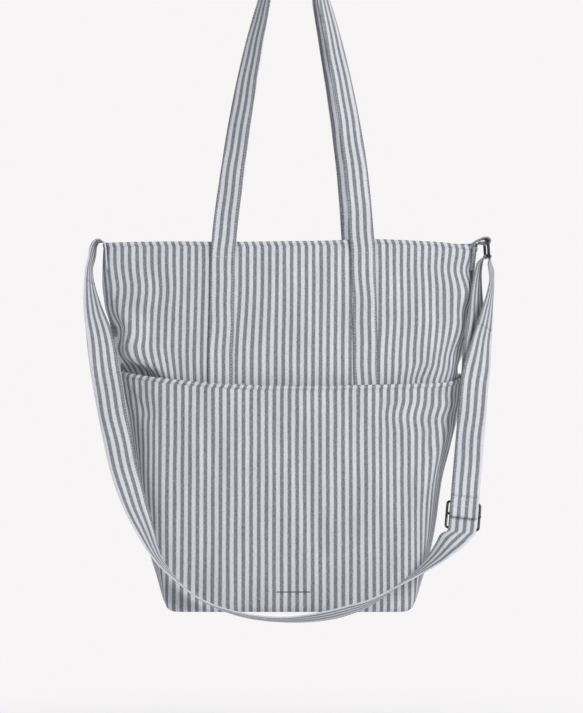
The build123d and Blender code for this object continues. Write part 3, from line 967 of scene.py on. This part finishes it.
def add_ribbon(piece, centres, wide, width, thick, shift=0.0, start=0.0, wobble=0.0, square=True):
    """Flat strap with soft edges. shift moves its stripes; returns its frame for stitching."""
    tangent = unit(np.gradient(centres, axis=0))
    if square:
        wide = wide - tangent * np.sum(wide * tangent, axis=1, keepdims=True)
    wide = unit(wide)
    normal = unit(np.cross(tangent, wide))
    half = np.broadcast_to(width, len(centres)) / 2
    loop = list(zip(SPOTS, SWELL)) + [(s, -h) for s, h in zip(SPOTS[::-1], SWELL)]
    reach = start + distances_along(centres)
    points = [centres + wide * (s * half)[:, None] + normal * (h * thick / 2) for s, h in loop]
    flats = [np.stack([s * half + shift + wobble, reach], axis=1) for s, _ in loop]
    add_tube(piece, points, flats)
    return centres, wide, normal


def stitch_edges(piece, strap, width, thick, inset=2.0, rows=slice(None)):
    """Stitches along both edges of a strap, on both faces."""
    reach = (np.broadcast_to(width, len(strap[0])) / 2 - inset)[rows, None]
    centres, wide, normal = (values[rows] for values in strap)
    for face in (1, -1):
        for side in (-1, 1):
            line = centres + wide * side * reach + normal * face * (thick / 2 * 0.95)
            add_dashes(piece, line, normal * face, **EDGE_STITCH)


def stitch_across(piece, centre, wide, half, out, lift, stitch):
    """A row of stitches across a strap's face."""
    line = centre + wide * np.linspace(-half, half, 12)[:, None] + out * lift
    add_dashes(piece, line, np.tile(out, (12, 1)), **stitch)


# ---- handles ----
HANDLE_WIDTH = 25.0
HANDLE_THICK = 2.2
HANDLE_RISE = 250.0
HANDLE_FOOT = 158
CROWN_RADIUS = 24.0
CROWN_FORWARD = 14.0
CROWN_SHIFT = 1.5
PATH_STEP = 4.0
# Below the rim: the stitches across the left end, and how much higher the right end's are.
CROSS_DEPTH = 14.5
CROSS_STEP = 3.0


def add_handle(name, grid, side, middle, half, lean, nodes):
    """One carrying handle: from inside the pocket up over the crown and down again."""
    piece = Piece(name, STRAP_CANVAS, WHITE_THREAD)
    depths = np.arange(HANDLE_FOOT, 7, -4.0)
    spread = half + 3.0 * depths / 140
    lift = 1.15 + 1.75 * (1 - ramp(depths, 8, 20))
    left_leg, right_leg = (
        sample(grid, -side * (middle + way * spread), depths, lift)[0] for way in (-1, 1)
    )
    sewn_turns = np.full(len(depths), 90.0)
    mouth_y = np.mean([left_leg[-1][1], right_leg[-1][1]])
    crown_y = side * CROWN_FORWARD
    rise = np.arange(8, HANDLE_RISE + 1, 11.0)
    share = rise / 290.0
    half_gap = half - lean[0] * rise - lean[1] * rise**2
    turn = 90.0 * (1 - 0.7 * share - 0.3 * share**8)
    y = mouth_y + (crown_y - mouth_y) * share
    shift = middle + CROWN_SHIFT * ramp(rise, 0, 90)
    angles = np.radians(np.linspace(172, 8, 15))
    crown = np.column_stack([
        (middle + CROWN_SHIFT) * 0.6 + CROWN_RADIUS * np.cos(angles),
        np.full(len(angles), crown_y),
        HANDLE_THICK / 2 - CROWN_RADIUS + CROWN_RADIUS * np.sin(angles),
    ])
    left, right = (np.column_stack([shift + way * half_gap, y, RIM + rise]) for way in (-1, 1))
    path = np.vstack([left_leg, left, crown, right[::-1], right_leg[::-1]])
    turns = np.concatenate([sewn_turns, turn, np.zeros(len(angles)), turn[::-1], sewn_turns])
    whole = smooth_path(path, turns[:, None], PATH_STEP)
    centres = whole[:, :3]
    wide = across(unit(np.gradient(centres, axis=0)), whole[:, 3])
    reach = np.arange(len(centres)) * PATH_STEP
    wobble = 0.35 * np.sin(reach / 17.0) + 0.25 * np.sin(reach / 7.3 + 1.0)
    stripe_shift = 1.8 - HANDLE_WIDTH / 2
    strap = add_ribbon(
        piece, centres, wide, HANDLE_WIDTH, HANDLE_THICK, stripe_shift, wobble=wobble
    )
    stitch_edges(piece, strap, HANDLE_WIDTH, HANDLE_THICK, 1.9)
    out = np.array([0.0, side * 1.0, 0.0])
    for end in (0, 1):
        level = RIM - CROSS_DEPTH + CROSS_STEP * end
        other_leg = (centres[:, 0] > middle) != bool(end)
        at = int(np.argmin(np.abs(centres[:, 2] - level) + 1000 * other_leg))
        stitch_across(
            piece, centres[at], strap[1][at], HANDLE_WIDTH / 2 - 1.5, out,
            HANDLE_THICK / 2 * 0.97, CROSS_STITCH,
        )
    obj = piece.build(*nodes)
    start, end = ((0, mouth_y * MM, (RIM + level) * MM) for level in (-2, 9))
    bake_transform(obj)
    return obj, len(centres) * PATH_STEP


front_handle, front_length = add_handle(
    "front_handle_strap", PANEL, -1, 3.5, 70.2, (0.0804, 0.000324),
    ("front_handle_loop", "front_left_handle_end", "front_right_handle_end"),
)
back_handle, back_length = add_handle(
    "back_handle_strap", BACK, 1, -1.0, 68.3, (0.0784, 0.000315),
    ("back_handle_loop", "back_left_handle_end", "back_right_handle_end"),
)

# ---- crossbody strap ----
STRAP_WIDTH = 28.0
STRAP_THICK = 1.6
STRAP_STRIPES = -2.2
# The strap is a little wider where it turns over the left corner.
CORNER_WIDTH = STRAP_WIDTH + 2
RUN_STEP = 3.0
PLY_STEP = 2.0
# Centre line of the strap from inside the left corner, over the rim, down in front of the bag
# and up towards the slider: x, y and height above the rim in mm, then the turn of its width.
STRAP_ROUTE = (
    (-186.3, 0, -28, 0), (-187.4, 0, -16, 0), (-188.2, 0, -5, 0),
    (-189.6, 0, 0.8, 0), (-192.8, 0, 2.4, 0), (-197.1, -0.5, 2.6, 2),
    (-200.6, -2, -2.5, 6), (-202.6, -4.5, -10.6, 8), (-204, -7.5, -18.9, 5),
    (-205, -10, -27.7, 7), (-204.2, -13, -41, 13), (-201.9, -17, -56.2, 24),
    (-198.7, -21, -71, 35), (-194.2, -26, -87.2, 49), (-189.5, -32, -111.6, 64),
    (-182.3, -41, -148.6, 86), (-175, -50, -184, 86), (-163.5, -62, -232, 69),
    (-148, -74, -274, 44), (-130, -86, -313, 10), (-112, -88.5, -334, -3),
    (-87, -90, -354, -9), (-48, -90, -368.6, -15), (-6, -90, -373.6, -18),
    (35, -90, -370, -26), (60, -90, -363.8, -26), (80, -90, -356.5, -19),
    (112, -89.5, -337, -4), (129, -87.5, -326, 6), (144.5, -83.5, -313.5, 24),
    (155.5, -79, -302.5, 42), (163.5, -75, -294.8, 58),
)

RING_X = 202.5
RING_DROP = 16.5
RING_LEAN = 0.06
RING_WIRE = 3.0
BAR_OFFSET = 3.95
SLIDER_AT = 286.0
SLIDER_HALF = 13.0
WRAP_HEIGHT = 18.0
LOOP_END = 92.0
RING_TOP = np.array([RING_X, 0.0, HINGE])
SLIDER_FOOT = np.array([172.5, -67.0, RIM - 272.0])
DOWN = unit(SLIDER_FOOT - RING_TOP)
DROP_WIDE = across(DOWN[None, :], np.array([-90.0]))[0]
DROP_OUT = np.cross(DOWN, DROP_WIDE)
if DROP_OUT[1] > 0:
    DROP_OUT = -DROP_OUT


def at_drop(depth, distance):
    return RING_TOP + DROP_OUT * depth + DOWN * distance


# The two plies under the ring part and turn a quarter: distance down the drop in mm, offset to
# the right of its line, and turn of the width.
OUTER_PLY = (
    (27, 7.5, 20), (38, 9, 17), (45, 9.8, 16), (56, 9.3, 19), (66, 8.4, 24), (75, 7.3, 30),
    (87, 6, 37), (105, 4, 49), (117, 3, 58), (128, 1.8, 70), (140, 0.6, 86), (150, 0, 90),
)
INNER_PLY = (
    (24, -4, 14), (31, -4.7, 18), (45, -4.9, 26), (56, -4.6, 32), (70, -3.8, 39), (82, -3.3, 46),
    (94, -3, 53), (106, -2.5, 61), (118, -1.5, 72), (128, -0.6, 82), (138, 0, 90), (165, 0, 90),
)


def ply_row(ply, depth, distance):
    """Centre and width of one ply at a distance down the drop."""
    distances, *columns = zip(*ply)
    aside, turn = (float(smooth_values(distances, column, distance)) for column in columns)
    centre = at_drop(depth * float(ramp(distance, 30, 150)), distance)
    centre = centre + np.array([aside, 0.0, 0.0])
    centre[1] = centre[1] * float(ramp(distance, -20, 96))
    return np.concatenate([centre, -across(DOWN[None, :], np.array([turn]))[0]])


def running_ply():
    """Up behind the slider to just under the ring."""
    lowest = SLIDER_AT + SLIDER_HALF + 4.0
    return [ply_row(INNER_PLY, 0.0, distance) for distance in np.arange(lowest, 26.0, -4.0)]


def ring_turn():
    """Over the ring's lower bar, and down to where the returning ply starts."""
    bar = np.array([RING_X + RING_LEAN * RING_DROP, 0.0, HINGE - RING_DROP])
    radius = (RING_WIRE + STRAP_THICK) / 2 + 0.45
    rows = []
    for angle in np.radians(np.linspace(165, 15, 10)):
        lift = np.array([math.cos(angle), 0.0, math.sin(angle)]) * radius
        rows.append(np.concatenate([bar + lift, [0.0, 1.0, 0.0]]))
    down = np.append(np.arange(27.0, LOOP_END, 5.0), LOOP_END + 0.8)
    return rows + [ply_row(OUTER_PLY, BAR_OFFSET, distance) for distance in down]


def strap_piece(name, rows, nodes, start=0.0, width=STRAP_WIDTH, square=True):
    """A length of the strap whose rows hold a point and the direction of its width."""
    piece = Piece(name, STRAP_CANVAS, WHITE_THREAD)
    centres, wide = rows[:, :3], rows[:, 3:6]
    reach = start + distances_along(centres)
    wobble = 0.45 * np.sin(reach / 19.0) + 0.3 * np.sin(reach / 8.1 + 2.0)
    strap = add_ribbon(
        piece, centres, wide, width, STRAP_THICK, STRAP_STRIPES, start, wobble, square
    )
    stitch_edges(piece, strap, width, STRAP_THICK)
    return piece.build(*nodes)


foot_point = at_drop(0.0, SLIDER_AT + SLIDER_HALF + 3.0)
route = np.array(STRAP_ROUTE + ((*foot_point, 88.0),))
route[:-1, 2] += RIM
hanging = smooth_path(route[:, :3], route[:, 3:], PATH_STEP)
hanging_wide = across(unit(np.gradient(hanging[:, :3], axis=0)), hanging[:, 3])
# The strap leaves the slider with its width still square to the drop, so it is sheared there.
sheared = 1 - ramp(np.linalg.norm(hanging[:, :3] - foot_point, axis=1), 0, 24)[:, None]
hanging_wide = unit(hanging_wide * (1 - sheared) + DROP_WIDE * sheared)
hanging = np.column_stack([hanging[:, :3], hanging_wide])
# It is made in two pieces, which meet a little below the left corner.
cut = int(np.argmax((hanging[:, 2] < RIM - 36) & (hanging[:, 0] < -195))) + 1
cut_reach = PATH_STEP * cut
left_rows = hanging[: cut + 1]
drop_rows = np.array(running_ply() + ring_turn())
drop_rows = smooth_path(drop_rows[:, :3], drop_rows[:, 3:6], PLY_STEP)
run_rows = evenly(np.vstack([hanging[cut:-1], drop_rows]), RUN_STEP)
run_length = len(run_rows) * RUN_STEP
narrowing = ramp(np.arange(len(run_rows)) * RUN_STEP, 90, 210)

strap_left = strap_piece("strap_left_end", left_rows, ("strap_anchor",), width=CORNER_WIDTH)
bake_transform(strap_left)
strap_run = strap_piece(
    "strap_run", run_rows, ("crossbody_strap", "strap_running_ply", "strap_ring_loop"),
    cut_reach, STRAP_WIDTH + (CORNER_WIDTH - STRAP_WIDTH) * (1 - narrowing), square=False,
)
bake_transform(strap_run)

RETURN_END = SLIDER_AT - WRAP_HEIGHT
return_rows = np.array([
    ply_row(OUTER_PLY, BAR_OFFSET, distance) for distance in np.linspace(LOOP_END, RETURN_END, 60)
])
strap_return = strap_piece(
    "strap_return", return_rows, ("strap_return_ply",), cut_reach + run_length
)
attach(strap_return, "ring_drop")
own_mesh(strap_return)


def wrap_rows():
    """The strap's sewn end: down in front of the slider's bar, under it and up behind."""
    rows = [at_drop(BAR_OFFSET, d) for d in np.linspace(RETURN_END, SLIDER_AT - 5, 8)]
    radius = 1.3 + STRAP_THICK / 2 + 0.1
    bar = at_drop(BAR_OFFSET, SLIDER_AT)
    for angle in np.radians(np.linspace(20, 180, 10)):
        rows.append(bar + DROP_OUT * (math.cos(angle) * radius) + DOWN * (math.sin(angle) * radius))
    for d in np.linspace(SLIDER_AT - 4, RETURN_END + 1.0, 6):
        rows.append(at_drop(BAR_OFFSET - STRAP_THICK - 0.1, d))
    rows = np.array(rows)
    return np.column_stack([rows, np.tile(DROP_WIDE, (len(rows), 1))])


wrap = wrap_rows()
wrap_piece = Piece("strap_sewn_end", STRAP_CANVAS, WHITE_THREAD)
wrap_strap = add_ribbon(
    wrap_piece, wrap[:, :3], wrap[:, 3:6], STRAP_WIDTH, STRAP_THICK, STRAP_STRIPES
)
stitch_edges(wrap_piece, wrap_strap, STRAP_WIDTH, STRAP_THICK, rows=slice(0, 8))
for distance in (RETURN_END + 3.0, RETURN_END + 9.5):
    stitch_across(
        wrap_piece, at_drop(BAR_OFFSET, distance), DROP_WIDE, 11.5, DROP_OUT, STRAP_THICK / 2,
        SEWN_STITCH,
    )
sewn_end = wrap_piece.build("strap_end_wrap")
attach(sewn_end, "slider")


# ---- ring tab ----
TAB_WIDTH = 25.0
TAB_THICK = 2.3
TAB_STEP = 1.2
TAB_STRIPES = 4.0


def tab_rows():
    """Tab from inside the right corner over the rim, round the ring's upper bar and back."""
    rise = [
        (186.3, -28.0), (187.4, -16.0), (188.2, -4.0), (189.8, 0.6), (192.8, 2.6), (196.4, 4.3),
        (199.8, 5.4),
    ]
    points = [(x, 0.0, RIM + z) for x, z in rise]
    radius = RING_WIRE / 2 + 0.3 + TAB_THICK / 2
    for angle in np.radians(np.linspace(80, -95, 12)):
        points.append((RING_X + radius * math.cos(angle), 0.0, HINGE + radius * math.sin(angle)))
    points += [(199.0, 0.0, RIM + 0.5), (195.0, 0.0, RIM + 0.6)]
    return np.array(points)


tab = tab_rows()
tab_piece = Piece("ring_tab_cloth", STRAP_CANVAS, WHITE_THREAD)
tab_path = smooth_path(tab, np.zeros((len(tab), 1)), TAB_STEP)[:, :3]
tab_wide = np.tile((0.0, -1.0, 0.0), (len(tab_path), 1))
tab_strap = add_ribbon(tab_piece, tab_path, tab_wide, TAB_WIDTH, TAB_THICK, TAB_STRIPES)
stitch_edges(tab_piece, tab_strap, TAB_WIDTH, TAB_THICK, 1.8)
ring_tab = tab_piece.build("ring_tab", "ring_tab_loop")
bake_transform(ring_tab)


# ---- inside seams and the mark ----
TAPE_WIDTH = 8.0
TAPE_THICK = 1.2


def add_tape(name, rows, wide, node):
    """Folded tape that binds an inside seam, stitched along both edges."""
    piece = Piece(name, TAPE, WHITE_THREAD)
    wide = np.tile(wide, (len(rows), 1))
    strap = add_ribbon(piece, rows, wide, TAPE_WIDTH, TAPE_THICK)
    stitch_edges(piece, strap, TAPE_WIDTH, TAPE_THICK)
    obj = piece.build(node, slot="seam_binding")
    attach(obj, "bag")
    return obj


def side_tape(name, side, seam, node):
    depths = np.arange(38, 358, 8.0)
    x = side * (seam(depths) - 1.4 - TAPE_WIDTH / 2)
    rows = np.column_stack([x, np.zeros(len(x)), RIM - depths])
    return add_tape(name, rows, (1.0, 0.0, 0.0), node)


left_tape = side_tape("left_seam_tape", -1, LEFT_SEAM, "left_side_seam")
right_tape = side_tape("right_seam_tape", 1, RIGHT_SEAM, "right_side_seam")
base_x = np.linspace(-108, 108, 40)
base_line = np.column_stack([base_x, np.zeros(40), np.full(40, BASE + 2.2)])
base_tape = add_tape("base_seam_tape", base_line, (0.0, 1.0, 0.0), "base_seam")


def add_mark():
    """Plain satin-stitched bar near the foot of the pocket."""
    piece = Piece("satin_bar", DARK_THREAD)
    depth = HEIGHT - 20.0
    for index, place in enumerate(np.arange(-17, 17.01, 0.42) + 4.0):
        drop_by = np.array([-0.85, 0.0, 0.85]) * (1.0 + 0.06 * math.sin(index * 2.1))
        line, normals = sample(POCKET, np.full(3, place), depth + drop_by, np.zeros(3))
        add_dashes(piece, line, normals, **SATIN_STITCH)
    obj = piece.build("stitched_mark", slot="dark_thread")
    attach(obj, "bag")
    return obj


mark = add_mark()

for node in ("side_ring", "slider_frame", "slider_bar"):
    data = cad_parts[node].data
    data.materials.clear()
    data.materials.append(BLACK_NICKEL)
    for polygon in data.polygons:
        polygon.use_smooth = True
